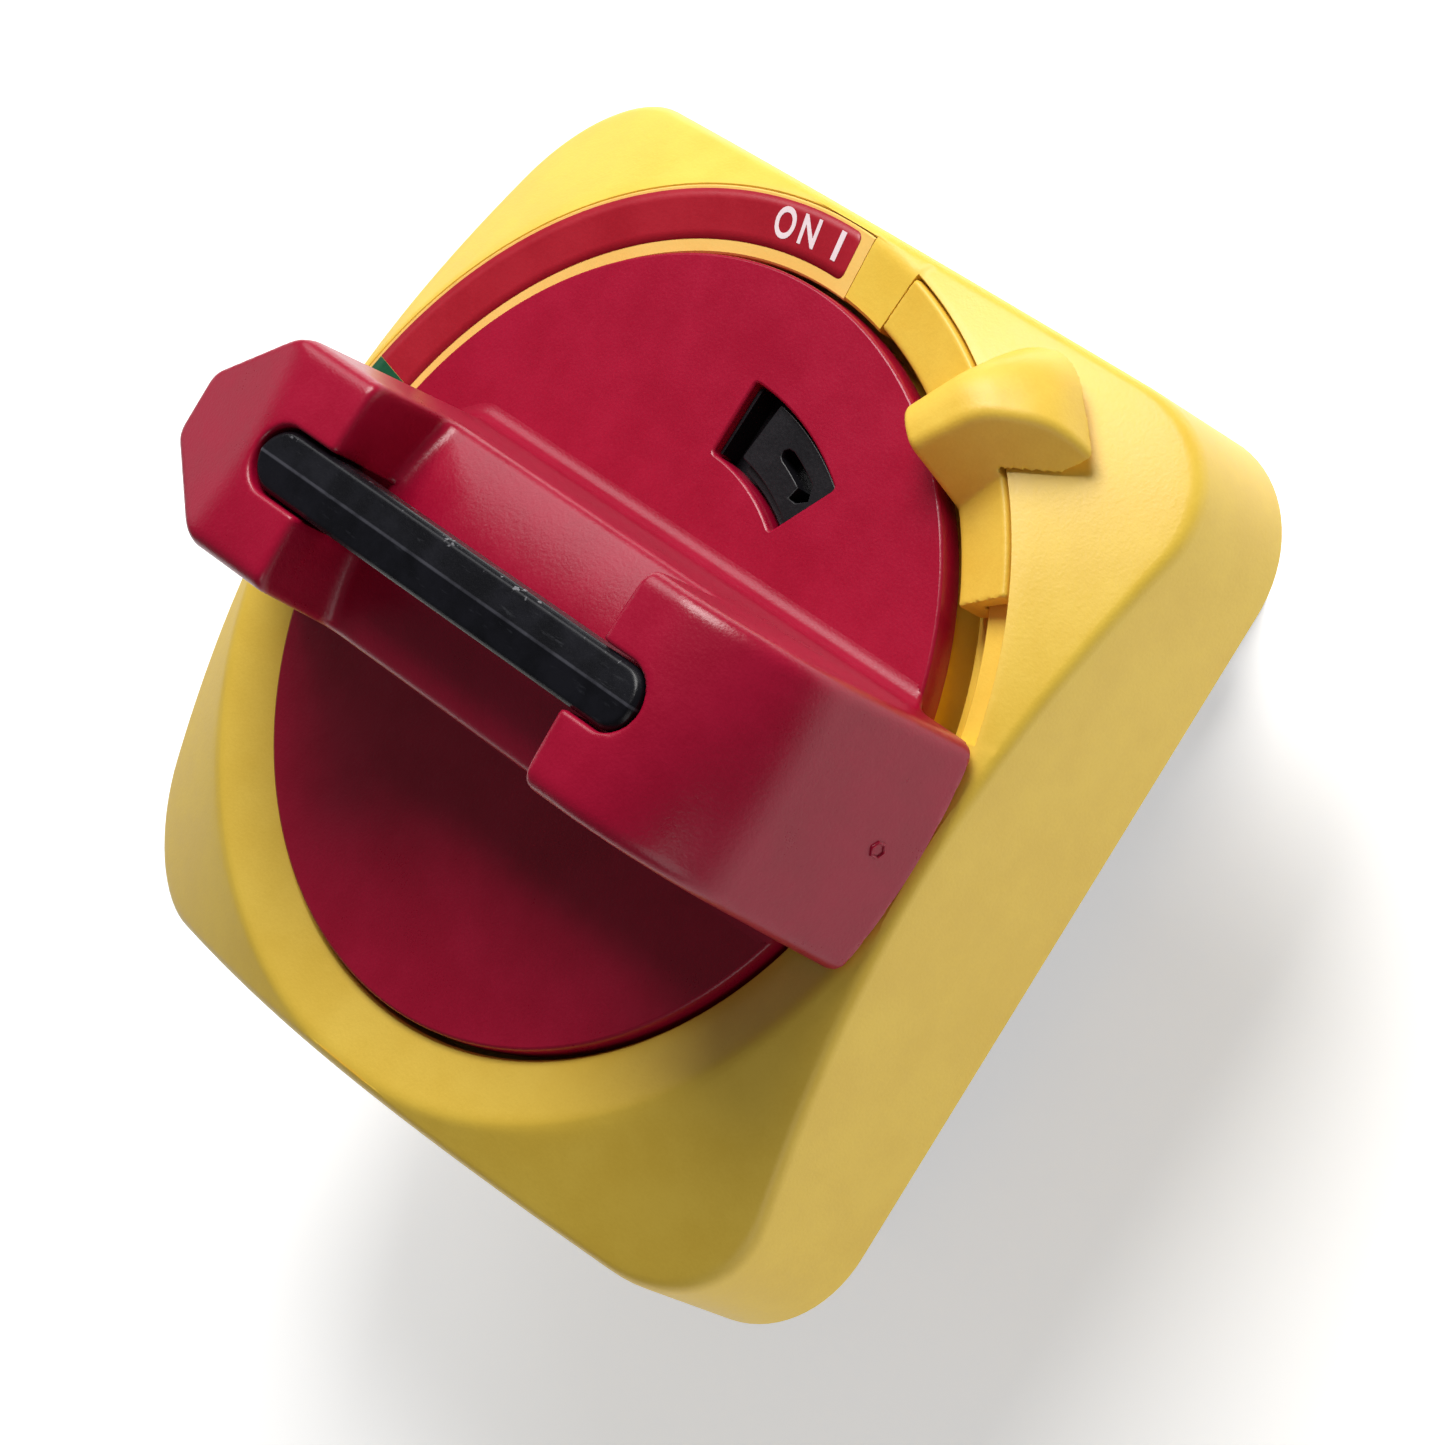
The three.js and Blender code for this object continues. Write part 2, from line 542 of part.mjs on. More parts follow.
for (let deck = 0; deck < 2; deck += 1) {
  const bottom = DECK_BOTTOM(deck);
  const middle = bottom + DECK_FLOOR + GAP + 2.9;
  addPiece(`deck_housing_${deck + 1}`, deckHousing(bottom), deck ? GREY : BLACK, 0.5);
  const camZ = [middle - 2.7, middle + 2.7];
  addPiece(`switching_cam_${deck + 1}`, cut(prism(camOutline(), camZ), shaftHole([-40, 0])), NATURAL, 0.5);

  ends.forEach((sx, i) => {
    const pole = deck * 2 + i + 1;
    const bridgeSlot = sided(sx, [BRIDGE_X[0] - GAP, BRIDGE_X[1] + GAP]);
    const carrier = cut(
      prism(mirrored(carrierOutline, sx, 1), [middle - 2.9, middle + 2.9]),
      box(bridgeSlot, [-5, 5], [middle - 2.1, middle + 2.1]),
    );
    addPiece(`contact_carrier_${pole}`, carrier, NATURAL, 0.5);

    const bridge = join(
      box([BRIDGE_X[0], BRIDGE_X[1]], [-11.2, 11.2], [middle - 1.8, middle + 1.8]),
      ...ends.map((sy) => rod(1.5, [BRIDGE_X[0] - 0.4, BRIDGE_X[0] + 0.2], [sy * 9.9, middle], 'x', 12)),
    );
    const bridgeMesh = addPiece(`contact_bridge_${pole}`, bridge, BRASS, 0.3, 1);
    bridgeMesh.rotation.z = sx > 0 ? 0 : Math.PI;

    const wire = coil(1.9, 0.35, [CARRIER_X[1] + GAP, WIRE_X[1] - GAP], 3);
    const spring = addPiece(`contact_spring_${pole}`, wire, STEEL, 0.35, 1);
    spring.rotation.y = sx * Math.PI / 2;
    spring.position.z = middle;
  });

  corners.forEach(([sx, sy], i) => {
    const label = `${deck + 1}${'abcd'[i]}`;
    const stripZ = [bottom + DECK_FLOOR + GAP, bottom + DECK_H - 1];
    addPiece(`fixed_contact_${label}`, prism(mirrored(stripOutline, sx, sy), stripZ), BRASS, 0.3, 1);
    const terminal = addPiece(`terminal_screw_${label}`, screw(1.6, 5, 2.5, 1.5), STEEL, 0.3, 1);
    terminal.rotation.y = -sx * Math.PI / 2;
    terminal.position.set(sx * (BODY_HALF_X + GAP + 1.5), sy * TERMINAL_Y, terminalZ(bottom));
  });
}

// Rear cover and assembly bolts
const rearCover = cut(
  prism(roundedRect(BODY_HALF_X, BODY_HALF_Y, 2), [-BEHIND_PANEL, COVER_TOP], 3),
  rod(SPIGOT_R + GAP, [-40, 0]),
  ...ends.map((s) => rod(BOLT_R + GAP, [-40, 0], [0, s * BOLT_AT], 'z', 12)),
  ...ends.map((s) => rod(3.1, [-40, COVER_TOP - 0.8], [0, s * BOLT_AT], 'z', 16)),
);
addPiece('rear_cover', rearCover, BLACK, 0.5);
ends.forEach((s, i) => {
  const bolt = addPiece(`assembly_bolt_${i + 1}`, screw(BOLT_R, 24, 2.8, 0.9), STEEL, 0.3, 1);
  bolt.position.set(0, s * BOLT_AT, -BEHIND_PANEL + 0.1);
});

export default assembly;
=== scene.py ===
# Rotary isolator switch with a padlockable handle: the looks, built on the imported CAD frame.
# Shapes are worked out in millimetres, with heights from the back face of the front plate.
# +Z points out of the panel, +Y at the ON mark, and the handle turns about Z.
import math

import bpy
import numpy as np
from mathutils import Matrix, Vector


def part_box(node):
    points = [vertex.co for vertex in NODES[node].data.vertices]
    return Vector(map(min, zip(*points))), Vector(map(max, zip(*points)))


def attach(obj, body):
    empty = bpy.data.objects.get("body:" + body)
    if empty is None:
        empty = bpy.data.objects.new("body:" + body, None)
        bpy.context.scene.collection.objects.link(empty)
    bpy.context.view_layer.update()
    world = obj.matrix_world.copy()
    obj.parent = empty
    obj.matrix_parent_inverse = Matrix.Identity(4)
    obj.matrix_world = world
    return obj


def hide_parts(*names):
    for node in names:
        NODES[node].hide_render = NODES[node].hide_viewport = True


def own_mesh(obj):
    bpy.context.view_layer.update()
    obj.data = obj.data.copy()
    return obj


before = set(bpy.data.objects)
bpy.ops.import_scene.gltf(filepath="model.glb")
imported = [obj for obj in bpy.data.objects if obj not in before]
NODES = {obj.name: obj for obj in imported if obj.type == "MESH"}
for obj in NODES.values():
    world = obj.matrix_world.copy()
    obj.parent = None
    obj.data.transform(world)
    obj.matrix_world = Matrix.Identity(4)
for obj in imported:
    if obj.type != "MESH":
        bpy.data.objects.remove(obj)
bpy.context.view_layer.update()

MM = 0.001
BEHIND_PANEL = 31.0
FLOOR_Z = -0.0005

# The front plate is a rounded square. Its face falls away from a round crest, with a dish inside.
PLATE_HALF = 45.0
PLATE_CORNER_R = 12.0
PLATE_EDGE = 0.35
PLATE_FILLET = 1.6
PLATE_WEB_Z = (11.5, 14.2)
HUB_HOLE_R = 12.6
WALL = 2.6
BOSS_AT = 25
BOSS_R = (4, 1.8)
CREST_R = 44.2
CREST_Z = 22.0
CREST_ROUND = 0.5
CREST_LIP = 0.12
FACE_SLOPE = 0.58
FACE_POINTS = 11
RECESS_R = 38.0
DISH_INNER_Z = 20.9
DISH_COSINE = 0.985
COLLAR_R = (36.5, 35.6)

# The dish is cut down for the slider's groove, with a deeper channel, and for the label.
LEDGE_Z = 19.6
GROOVE_WALL_R = 44.2
GROOVE_ARC = (14.8, 77.0)
CHANNEL_R = 40.7
CHANNEL_Z = 17.0
LABEL_POCKET = (85.3, 194.3)

# The label's printed fields and letters, by angle. Each letter is (letter, height, width, angle).
ON_FIELD = (87.3, 165.5)
OFF_FIELD = (165.55, 192.6)
PRINT_R = (39.15, 43.75)
PRINT_CORNER = 0.75
SQUARE_CORNER = 0.02
LETTER_R = 41.7
ON_LETTERS = (("O", 2.95, 2.5, 99.75), ("N", 2.75, 2.15, 95.5), ("I", 2.8, 0.64, 90.15))
OFF_LETTERS = (
    ("O", 2.95, 2.5, 185.2), ("O", 2.95, 2.5, 178.7), ("F", 2.75, 1.7, 174.95), ("F", 2.75, 1.7, 171.7),
)

# The slider is a ring segment with a key in the channel and a thumb tab. Each face of the tab is
# (the direction it faces in plan, its tilt upward, its distance from the origin).
SLIDER_ARC = (32.1, 76.88)
RING_R = (38.4, 43.9)
RING_UNDER_Z = 19.9
KEY_R = 40.4
KEY_Z = (17.3, 20.4)
TAB_TOP_Z = 27.5
TAB_INNER_R = 38.3
TAB_MAX_Y = 44.9
TAB_UNDER_Z = 20.2
TAB_CLEARANCE = 0.35
TAB_SLOPE = (53.5, 54.0, 49.2)
TAB_BACK = (147.0, 32.0, 14.4)
TAB_SHOULDER = (110.0, 30.0, 37.7)
TAB_OUTER = (47.75, 12.0, 54.8)
TAB_FRONT = (-40.0, 30.0, 13.06)

# The handle is a disc with a tall grip moulded on it, and a saddle between the grip's two ends.
DISC_R = 37.45
DISC_Z = (19.35, 22.2)
DISC_EDGE = 0.28
DISC_BLEND_R = 37.3
WINDOW_R = (20.2, 27.6)
WINDOW_ARC = (57.5, 89.3)
HUB_OUTLINE = (
    (12.2, DISC_Z[0] + 0.5), (12.2, 11), (11.2, 11), (11.2, 9.4), (12.2, 9.4), (12.2, 8), (10, 8),
    (10, DISC_Z[0] + 0.5),
)
GRIP_BASE_Z = 22.7
GRIP_HALF_WIDTH = 11.3
GRIP_DRAFT = 0.03
OVERHANG_R = 37.05
CROWN_Z = 49.4
CROWN_BOW = 0.004
CROWN_FALL = 0.012
END_X = 41.3
END_Z = 44
END_LEAN = 0.172
END_BOW = 110
END_ROUND = 10.5
POINTER_REACH = 23.15
POINTER_Z = 48
POINTER_SPREAD = (0.06, 0.33)
TIP_X = 34.7
TIP_Z = 46.7
TIP_LEAN = 0.424
FACET_X = -23.6
FACET_Z = 49.15
FACET_SLOPE = 0.26
SADDLE_Z = 39.0
SADDLE_CROWN_Z = 40.9
SADDLE_BOW = 0.0205
GAP_X = (-13.3, 24.4)
GAP_DRAFT = (0.01, 0.02)
SLOT_HALF_WIDTH = 3.3
SLOT_FLOOR_Z = 41.0
GATE_MARK = (-0.1, 27.4)

# The lock plate is a ring, with a pad, a step and a liner on it that stand in the disc's window.
LOCK_RING_Z = (16.6, 18.92)
LOCK_PAD_Z = (18.9, 21.25)
LOCK_STEP_Z = (18.9, 20.55)
LOCK_LINER_Z = (18.9, 21.3)

# The padlock bar lies in the grip's slots on two square legs.
BAR_X = (-21.8, 31.8)
BAR_MIDDLE = (BAR_X[0] + BAR_X[1]) / 2
BAR_HALF = (BAR_X[1] - BAR_X[0]) / 2
BAR_HALF_WIDTH = 3.0
BAR_Z = 44.6
BAR_EDGE_Z = 48.85
BAR_RIDGE_Z = 49.3
BAR_CHAMFER = 0.42
LEG_X = (-18.4, 28.4)
LEG_HALF = 2
LEG_Z = (33, 46)
LEG_HOLE_HALF = 2.3
LEG_HOLE_Z = 25

rad = math.radians


def polar(r, degrees):
    return r * np.cos(np.radians(degrees)), r * np.sin(np.radians(degrees))


def to_row(points):
    return (np.asarray(points, float) + (0, 0, BEHIND_PANEL)) * MM


def dish_z(r):
    return DISH_INNER_Z + (CREST_Z - DISH_INNER_Z) * (r - RECESS_R) / (CREST_R - RECESS_R)


def face_z(r):
    return CREST_Z - FACE_SLOPE * (r - CREST_R)


# ---------------------------------------------------------------- meshes
def link(item):
    bpy.context.scene.collection.objects.link(item)
    return item


def add_piece(name, parts, body, material, replaces=(), sharp=None):
    """parts is a list of (points in mm, faces); they become one object that rides on body."""
    points, faces, offset = [], [], 0
    for part_points, part_faces in parts:
        points.append(np.asarray(part_points, float))
        faces.extend([tuple(int(i) + offset for i in face) for face in part_faces])
        offset += len(part_points)
    mesh = bpy.data.meshes.new(name)
    mesh.from_pydata(to_row(np.concatenate(points)).tolist(), [], faces)
    mesh.validate()
    mesh.shade_smooth()
    if sharp is not None:
        mesh.set_sharp_from_angle(angle=rad(sharp))
    mesh.materials.append(material)
    piece = link(bpy.data.objects.new(name, mesh))
    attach(piece, body)
    if replaces:
        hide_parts(*replaces)
    return piece


def flipped(points, faces):
    """The same surface with its faces turned to the other side."""
    return points, [face[::-1] for face in faces]


def skin(rows, close_rows, cap=False):
    """A surface over rows of points. Each row is a closed outline; caps close an open run of rows."""
    rows = np.asarray(rows, float)
    count, width = rows.shape[:2]
    faces = []
    for i in range(count if close_rows else count - 1):
        a, b = i * width, ((i + 1) % count) * width
        for j in range(width):
            k = (j + 1) % width
            faces.append((a + j, a + k, b + k, b + j))
    if cap:
        faces.append(tuple(reversed(range(width))))
        faces.append(tuple(range((count - 1) * width, count * width)))
    return rows.reshape(-1, 3), faces


def turned(profile, angles, close_rows, cap=False):
    """Turns (radius, height) outlines about Z; profile(angle, i) gives the outline of row i."""
    rows = []
    for i, angle in enumerate(angles):
        outline = np.asarray(profile(angle, i), float)
        x, y = polar(outline[:, 0], angle)
        rows.append(np.stack([x, y, outline[:, 1]], axis=1))
    return skin(rows, close_rows, cap)


def tube(x, y, outer, inner, z0, z1, sides=32, soft=0.0):
    """An upright tube, with its outer top edge softened."""
    outline = [(outer, z0), (outer, z1 - soft), (outer - soft, z1), (inner, z1), (inner, z0)]
    points, faces = flipped(*turned(lambda a, i: outline, np.arange(sides) * 360 / sides, True))
    return points + (x, y, 0), faces


def arc(centre, radius, start, end, count):
    angles = np.radians(np.linspace(start, end, count))
    return [(centre[0] + radius * math.cos(a), centre[1] + radius * math.sin(a)) for a in angles]


def plate_from_outlines(outlines, z0, z1, bevel=0.0):
    """A flat plate in XY with holes, from closed outlines, as (points, faces)."""
    curve = bpy.data.curves.new("outline", "CURVE")
    curve.dimensions = "2D"
    curve.fill_mode = "BOTH"
    curve.extrude = (z1 - z0) / 2 - bevel
    curve.bevel_depth = bevel
    curve.bevel_resolution = 1
    curve.offset = -bevel
    for outline in outlines:
        spline = curve.splines.new("POLY")
        spline.points.add(len(outline) - 1)
        for point, (x, y) in zip(spline.points, outline):
            point.co = (x, y, 0, 1)
        spline.use_cyclic_u = True
    return curve_mesh(curve, (0, 0, (z0 + z1) / 2))


def curve_mesh(curve, shift=(0, 0, 0)):
    """Turns a curve or text into (points, faces) and removes it."""
    holder = link(bpy.data.objects.new("outline", curve))
    mesh = bpy.data.meshes.new_from_object(holder)
    points = np.array([v.co for v in mesh.vertices], float).reshape(-1, 3) + shift
    faces = [tuple(p.vertices) for p in mesh.polygons]
    bpy.data.objects.remove(holder)
    bpy.data.curves.remove(curve)
    bpy.data.meshes.remove(mesh)
    return points, faces


# ---------------------------------------------------------------- moulded shapes as distance fields
def round_max(a, b, k):
    """Intersects two solids, with a soft edge about k wide."""
    h = np.clip(0.5 + 0.5 * (a - b) / k, 0, 1)
    return b + (a - b) * h + k * h * (1 - h)


def round_min(a, b, k):
    """Joins two solids, with a soft corner about k wide."""
    return -round_max(-a, -b, k)


def arc_max(a, b, radius):
    """Intersects two solids with a true round of the given radius along their edge."""
    inside = np.minimum(np.maximum(a, b) + radius, 0)
    return inside + np.hypot(np.maximum(a + radius, 0), np.maximum(b + radius, 0)) - radius


def past_face(x, y, z, degrees, tilt=0, distance=0):
    """Height above a plane that faces an angle in plan, tilts up and lies at a distance."""
    flat = math.cos(rad(tilt))
    along = x * flat * math.cos(rad(degrees)) + y * flat * math.sin(rad(degrees))
    return along + z * math.sin(rad(tilt)) - distance


def square_post(x, y, middle, half):
    return np.maximum(np.abs(x - middle), np.abs(y)) - half


def slot_field(x, y, half_length, middle, half_width):
    along = np.maximum(np.abs(x - middle) - (half_length - half_width), 0)
    return np.hypot(along, y) - half_width


def surface_net(field, low, high, cell, pulls=5):
    """Meshes the zero surface of field(x, y, z), which is negative inside, as (points, quads)."""
    axes = [np.arange(low[i], high[i] + cell, cell) for i in range(3)]
    values = field(*np.meshgrid(*axes, indexing="ij", sparse=True)).astype(np.float32)
    inside = values < 0
    size = np.array(values.shape) - 1
    corners = [(i, j, k) for i in (0, 1) for j in (0, 1) for k in (0, 1)]
    filled = np.zeros(size, np.int8)
    for i, j, k in corners:
        filled += inside[i:i + size[0], j:j + size[1], k:k + size[2]]
    active = (filled > 0) & (filled < 8)
    cells = np.argwhere(active)
    number = np.full(size, -1, np.int64)
    number[active] = np.arange(len(cells))
    total = np.zeros((len(cells), 3))
    hits = np.zeros(len(cells))
    for corner in corners:
        for axis in range(3):
            if corner[axis]:
                continue
            step = np.eye(3, dtype=int)[axis]
            a = values[tuple((cells + corner).T)]
            b = values[tuple((cells + corner + step).T)]
            crossing = (a < 0) != (b < 0)
            share = np.where(crossing, a / np.where(crossing, a - b, 1), 0)
            total += (cells + corner + share[:, None] * step) * crossing[:, None]
            hits += crossing
    points = np.array(low) + cell * total / hits[:, None]
    for _ in range(pulls):
        points = points + pulled(field, points, cell)
    quads = []
    for a in range(3):
        b, c = (a + 1) % 3, (a + 2) % 3
        start = np.take(inside, range(size[a]), axis=a)
        end = np.take(inside, range(1, size[a] + 1), axis=a)
        edge = np.argwhere(start != end)
        kept = (edge[:, b] >= 1) & (edge[:, c] >= 1) & (edge[:, b] < size[b]) & (edge[:, c] < size[c])
        edge = edge[kept]
        outward = start[tuple(edge.T)]
        back_b, back_c = np.eye(3, dtype=int)[b], np.eye(3, dtype=int)[c]
        ring = [edge - back_b - back_c, edge - back_c, edge, edge - back_b]
        ids = np.stack([number[tuple(r.T)] for r in ring], axis=1)
        ids[~outward] = ids[~outward][:, ::-1]
        quads.append(ids)
    return points, np.concatenate(quads)


def pulled(field, points, cell):
    """The step that takes each point towards the zero surface, half a cell at most."""
    e = 0.15 * cell
    gradient = np.zeros_like(points)
    for axis in range(3):
        step = np.eye(3)[axis] * e
        gradient[:, axis] = (field(*(points + step).T) - field(*(points - step).T)) / (2 * e)
    slope = np.maximum((gradient ** 2).sum(1), 0.05)
    move = -(field(*points.T) / slope)[:, None] * gradient
    length = np.linalg.norm(move, axis=1, keepdims=True)
    return move * np.minimum(1, 0.5 * cell / np.maximum(length, 1e-9))


def keep_faces(points, faces, wanted):
    """Drops the faces where wanted(centres) is false, and the points left over."""
    faces = np.asarray(faces)
    faces = faces[wanted(points[faces].mean(1))]
    used = np.unique(faces)
    renumber = np.full(len(points), -1)
    renumber[used] = np.arange(len(used))
    return points[used], renumber[faces]


# ---------------------------------------------------------------- materials
def srgb(r, g, b):
    def linear(v):
        v /= 255
        return v / 12.92 if v <= 0.04045 else ((v + 0.055) / 1.055) ** 2.4
    return (linear(r), linear(g), linear(b), 1)


class Nodes:
    """A short way to write a material's node tree. Texture coordinates are the row frame, in metres."""

    SOCKETS = {
        "color": "Base Color", "rough": "Roughness", "metal": "Metallic", "normal": "Normal",
        "level": "Specular IOR Level",
    }

    def __init__(self, name):
        self.material = bpy.data.materials.new(name)
        self.material.use_nodes = True
        self.tree = self.material.node_tree
        self.shader = self.tree.nodes["Principled BSDF"]
        self.place = self.tree.nodes.new("ShaderNodeTexCoord").outputs["Object"]

    def add(self, kind, inputs=(), **settings):
        node = self.tree.nodes.new(kind)
        for key, value in settings.items():
            setattr(node, key, value)
        for key, value in dict(inputs).items():
            if isinstance(value, bpy.types.NodeSocket):
                self.tree.links.new(value, node.inputs[key])
            else:
                node.inputs[key].default_value = value
        return node

    def noise(self, scale, detail=3.0, rough=0.5, place=None):
        inputs = {"Vector": place or self.place, "Scale": scale, "Detail": detail, "Roughness": rough}
        return self.add("ShaderNodeTexNoise", inputs).outputs["Fac"]

    def ramp(self, value, low, high, start=0.0, end=1.0):
        inputs = {"Value": value, "From Min": low, "From Max": high, "To Min": start, "To Max": end}
        return self.add("ShaderNodeMapRange", inputs, interpolation_type="SMOOTHSTEP").outputs["Result"]

    def math(self, operation, a, b=0.0):
        return self.add("ShaderNodeMath", {0: a, 1: b}, operation=operation).outputs[0]

    def blend(self, a, share_a, b, share_b):
        return self.math("ADD", self.math("MULTIPLY", a, share_a), self.math("MULTIPLY", b, share_b))

    def mix(self, factor, a, b):
        return self.add("ShaderNodeMix", {0: factor, 6: a, 7: b}, data_type="RGBA").outputs[2]

    def stretch(self, x, y, z):
        return self.add("ShaderNodeMapping", {"Vector": self.place, "Scale": (x, y, z)}).outputs["Vector"]

    def bevel(self, radius):
        """A normal that rounds every edge by radius millimetres."""
        return self.add("ShaderNodeBevel", {"Radius": radius * MM}, samples=4).outputs["Normal"]

    def bump(self, height, distance, normal=None):
        inputs = {"Height": height, "Distance": distance, "Strength": 1.0}
        if normal is not None:
            inputs["Normal"] = normal
        return self.add("ShaderNodeBump", inputs).outputs["Normal"]

    def set(self, **sockets):
        for key, value in sockets.items():
            socket = self.shader.inputs[self.SOCKETS[key]]
            if isinstance(value, bpy.types.NodeSocket):
                self.tree.links.new(value, socket)
            else:
                socket.default_value = value
        return self.material


def moulded(name, light, dark, rough, grain, level=0.5, rounded=0.0):
    """Satin moulded plastic: faint flow mottling and a fine spark-eroded grain."""
    n = Nodes(name)
    cloud = n.noise(140, 4, 0.6)
    grain_map = n.noise(3400, 2, 0.55)
    color = n.mix(n.ramp(n.blend(cloud, 0.75, grain_map, 0.25), 0.34, 0.66), dark, light)
    edge = n.bevel(rounded) if rounded else None
    height = n.math("ADD", grain_map, n.math("MULTIPLY", n.noise(1100, 2, 0.5), 0.8))
    roughness = n.ramp(n.blend(cloud, 0.6, grain_map, 0.4), 0.3, 0.7, *rough)
    return n.set(color=color, rough=roughness, normal=n.bump(height, grain, edge), level=level)


def metal(name, light, dark, rough, brushed, rounded):
    """Plated or drawn metal: fine drawing marks, dull spots and softened edges."""
    n = Nodes(name)
    lines = n.noise(1.0, 5, 0.6, n.stretch(*brushed))
    spots = n.noise(260, 4, 0.6)
    color = n.mix(n.ramp(n.blend(lines, 0.5, spots, 0.5), 0.35, 0.65), dark, light)
    roughness = n.ramp(spots, 0.3, 0.7, rough * 0.8, rough * 1.35)
    return n.set(color=color, rough=roughness, metal=1.0, normal=n.bump(lines, 8e-6, n.bevel(rounded)))


def bar_material():
    """Semi-gloss black with handling scuffs and pale nicks along its upper edge, and a painted highlight: a
    thin lighter grey line along the ridge.
    """
    n = Nodes("black padlock bar")
    nick_line = 2.7 * MM
    cloud = n.noise(220, 4, 0.6)
    scuffs = n.ramp(n.noise(1.0, 4, 0.7, n.stretch(260, 1500, 1500)), 0.6, 0.72)
    y = n.add("ShaderNodeSeparateXYZ", {"Vector": n.place}).outputs["Y"]
    edge = n.ramp(n.math("ABSOLUTE", n.math("SUBTRACT", y, nick_line)), 0.55 * MM, 0.15 * MM)
    nicks = n.math("MULTIPLY", n.ramp(n.noise(620, 3, 0.7), 0.63, 0.69), edge)
    # Painted highlight: a thin lighter grey line along the roof's ridge, broken up by the cloud noise.
    ridge_highlight = n.ramp(n.math("ABSOLUTE", y), 0.2 * MM, 0.06 * MM)
    ridge_highlight = n.math("MULTIPLY", ridge_highlight, n.ramp(cloud, 0.35, 0.6, 0.25, 0.6))
    color = n.mix(n.ramp(cloud, 0.35, 0.65), srgb(13, 13, 17), srgb(21, 21, 27))
    color = n.mix(n.math("MULTIPLY", scuffs, 0.2), color, srgb(58, 60, 68))
    color = n.mix(ridge_highlight, color, srgb(84, 84, 92))
    color = n.mix(n.math("MULTIPLY", nicks, 0.55), color, srgb(150, 150, 156))
    height = n.math("ADD", n.noise(2600, 2, 0.5), n.math("MULTIPLY", nicks, -3.0))
    roughness = n.ramp(n.math("ADD", cloud, scuffs), 0.3, 1.2, 0.26, 0.44)
    return n.set(color=color, rough=roughness, normal=n.bump(height, 1.2e-5), level=0.22)


SATIN = (0.36, 0.46)
PRINTED = (0.34, 0.42)
HOUSING = (0.38, 0.52)
YELLOW = moulded("yellow moulding", srgb(246, 208, 79), srgb(240, 200, 71), SATIN, 1.6e-5)
YELLOW_SLIDER = moulded("yellow slider moulding", srgb(243, 204, 76), srgb(236, 193, 66), (0.4, 0.5), 1.6e-5)
LABEL_CARRIER = moulded("label carrier", srgb(255, 211, 116), srgb(252, 203, 106), (0.3, 0.4), 1.2e-5)
RED = moulded("red moulding", srgb(167, 7, 50), srgb(157, 5, 44), (0.27, 0.35), 2.2e-5, level=0.45)
RED_PRINT = moulded("red print", srgb(174, 24, 44), srgb(164, 18, 38), PRINTED, 1.4e-5)
GREEN_PRINT = moulded("green print", srgb(24, 92, 60), srgb(20, 84, 52), PRINTED, 1.4e-5)
WHITE_PRINT = moulded("white print", srgb(250, 236, 240), srgb(244, 226, 232), (0.4, 0.5), 1.0e-5)
BLACK_SATIN = moulded("black housing", srgb(30, 30, 33), srgb(22, 22, 25), HOUSING, 2.4e-5, rounded=0.25)
BLACK_INNER = moulded(
    "black lock plate", srgb(24, 22, 27), srgb(17, 16, 20), (0.34, 0.46), 2.0e-5, level=0.35,
)
GREY_SATIN = moulded("grey housing", srgb(74, 76, 82), srgb(64, 66, 72), HOUSING, 2.4e-5, rounded=0.25)
NATURAL = moulded(
    "uncoloured nylon", srgb(226, 219, 200), srgb(214, 205, 184), (0.34, 0.48), 1.6e-5, rounded=0.2,
)
RUBBER = moulded("gasket rubber", srgb(34, 34, 36), srgb(26, 26, 28), (0.7, 0.85), 3.0e-5, level=0.3)
SHAFT_STEEL = metal("drawn steel", srgb(196, 198, 200), srgb(168, 170, 174), 0.3, (900, 900, 60), 0.15)
SPRING_STEEL = metal("spring wire", srgb(190, 192, 196), srgb(150, 152, 156), 0.22, (300, 300, 300), 0.05)
SCREW_STEEL = metal("zinc plate", srgb(206, 206, 202), srgb(176, 176, 168), 0.3, (400, 400, 400), 0.12)
BRASS = metal("contact brass", srgb(222, 180, 104), srgb(196, 150, 78), 0.28, (500, 120, 500), 0.12)
BLACK_BAR = bar_material()

# The CAD nodes that stay, by the start of their names.
NODE_MATERIALS = {
    "drive_coupler": BLACK_SATIN, "deck_housing_1": BLACK_SATIN, "rear_cover": BLACK_SATIN,
    "mechanism_housing": GREY_SATIN, "deck_housing_2": GREY_SATIN, "panel_gasket": RUBBER,
    "drive_shaft": SHAFT_STEEL, "retaining_clip": SHAFT_STEEL,
    "detent_star": NATURAL, "detent_plunger": NATURAL, "switching_cam": NATURAL, "contact_carrier": NATURAL,
    "contact_bridge": BRASS, "fixed_contact": BRASS,
    "plate_screw": SCREW_STEEL, "terminal_screw": SCREW_STEEL, "assembly_bolt": SCREW_STEEL,
    "contact_spring": SPRING_STEEL,
}
for node, item in NODES.items():
    for start, material in NODE_MATERIALS.items():
        if node.startswith(start):
            item.data.materials[0] = material


# ---------------------------------------------------------------- front plate
def square_radius(half, corner, degrees):
    """Distance from the centre to the edge of a rounded square, at an angle."""
    c, s = abs(math.cos(rad(degrees))), abs(math.sin(rad(degrees)))
    flat = half / max(c, s)
    inner = half - corner
    if flat * min(c, s) <= inner:
        return flat
    along = inner * (c + s)
    return along + math.sqrt(along * along - 2 * inner * inner + corner * corner)


def top_z(r):
    """The crest is where the outward fall and the dish meet, slightly rounded."""
    return float(round_min(np.float64(face_z(r)), np.float64(dish_z(r)), CREST_ROUND))


